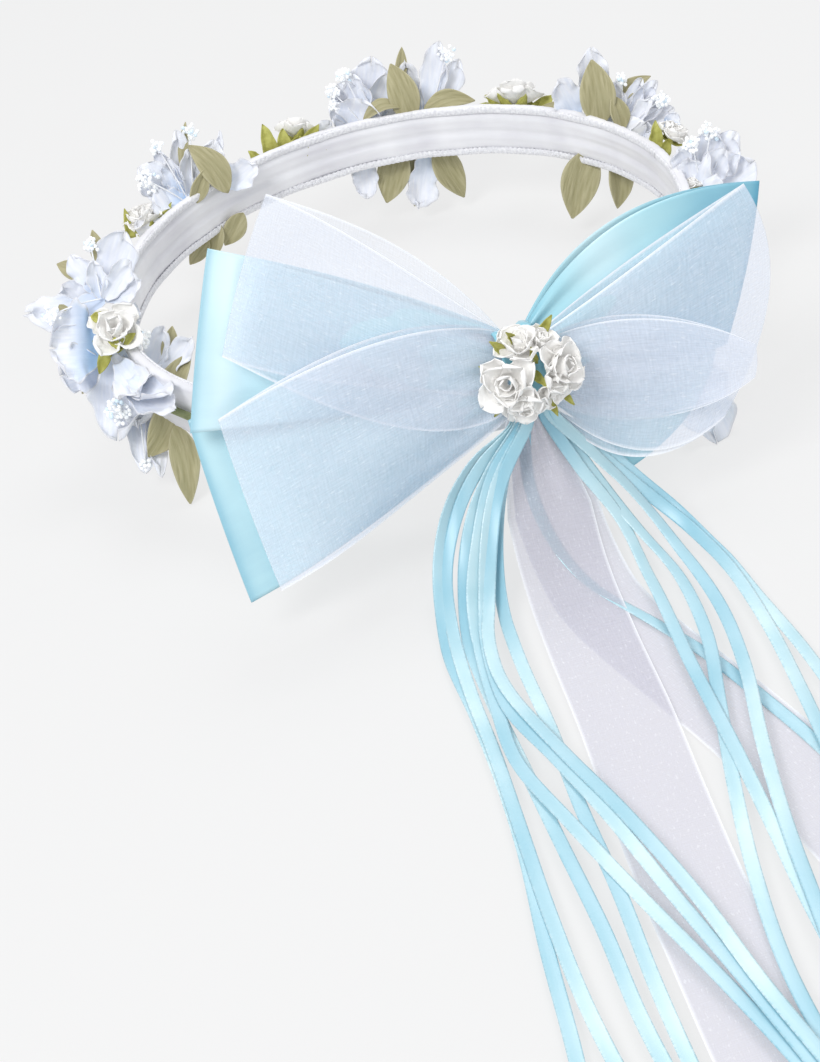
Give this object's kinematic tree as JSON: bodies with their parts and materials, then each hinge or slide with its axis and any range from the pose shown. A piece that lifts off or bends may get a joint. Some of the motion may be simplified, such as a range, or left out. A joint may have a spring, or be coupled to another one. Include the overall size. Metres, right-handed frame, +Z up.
{
  "type": "flower crown",
  "caption": "Child's flower crown: a satin head band dressed with cloth lilies, paper roses and leaves, tied with a satin and organza bow with long trailing ribbons.",
  "frame": {"origin": "on the table, at the middle of the crown's footprint, measured without the trailing ribbons and tails", "axes": "+Z up along the ring's axis, out of the top of the wearer's head; -Y towards the bow and the trailing ribbons; +X towards the bow's right as it is seen from in front"},
  "size_m": [0.2235, 0.4302, 0.1028],
  "materials": {
    "white_satin": "white satin ribbon",
    "stiff_core": "plain stiffener",
    "green_tape": "green florist's tape over wire",
    "petal_cloth": "thin starched cloth, pale blue",
    "pearl": "clear bead on a fine stalk",
    "white_paper": "soft mulberry paper",
    "calyx_paper": "yellow-green crinkled paper",
    "leaf_cloth": "olive cloth, printed and stiffened",
    "turquoise_satin": "turquoise satin ribbon",
    "organza": "sheer white organza with a fine weave",
    "steel_wire": "thin plain wire"
  },
  "bodies": {
    "root": {"satin_cover": "white_satin", "edge_trim_lower": "white_satin", "edge_trim_upper": "white_satin", "band_core": "stiff_core", "flower_hoop": "green_tape", "lily_left_rear": "petal_cloth", "lily_left": "petal_cloth", "lily_hanging": "petal_cloth", "lily_rear_left": "petal_cloth", "lily_rear": "petal_cloth", "lily_rear_right": "petal_cloth", "lily_right": "petal_cloth", "lily_front_right": "petal_cloth", "stamens_left_rear": "pearl", "stamens_rear_left": "pearl", "stamens_rear": "pearl", "stamens_rear_right": "pearl", "rose_left": "white_paper", "rose_rear_left": "white_paper", "rose_rear": "white_paper", "rose_rear_mid": "white_paper", "rose_right": "white_paper", "calyx_left": "calyx_paper", "calyx_rear": "calyx_paper", "calyx_rear_mid": "calyx_paper", "leaves_left": "leaf_cloth", "leaves_left_rear": "leaf_cloth", "leaves_rear_left": "leaf_cloth", "leaves_rear": "leaf_cloth", "leaves_rear_right": "leaf_cloth", "satin_loop_left_upper": "turquoise_satin", "organza_loop_left_upper": "organza", "satin_loop_left_lower": "turquoise_satin", "organza_loop_left_lower": "organza", "satin_loop_right_upper": "turquoise_satin", "organza_loop_right_upper": "organza", "satin_loop_right_lower": "turquoise_satin", "organza_loop_right_lower": "organza", "knot_band": "turquoise_satin", "rosette_rose_1": "white_paper", "rosette_rose_2": "white_paper", "rosette_rose_3": "white_paper", "rosette_rose_4": "white_paper", "rosette_calyx": "calyx_paper", "bow_tie_wire": "steel_wire", "ribbon_left_1": "turquoise_satin", "ribbon_left_2": "turquoise_satin", "ribbon_left_3": "turquoise_satin", "ribbon_left_4": "turquoise_satin", "ribbon_left_5": "turquoise_satin", "ribbon_left_6": "turquoise_satin", "ribbon_left_7": "turquoise_satin", "ribbon_right_1": "turquoise_satin", "ribbon_right_2": "turquoise_satin", "ribbon_right_3": "turquoise_satin", "ribbon_right_4": "turquoise_satin", "ribbon_right_5": "turquoise_satin", "ribbon_middle": "turquoise_satin", "organza_tail_left": "organza", "organza_tail_right": "organza"}
  },
  "joints": []
}
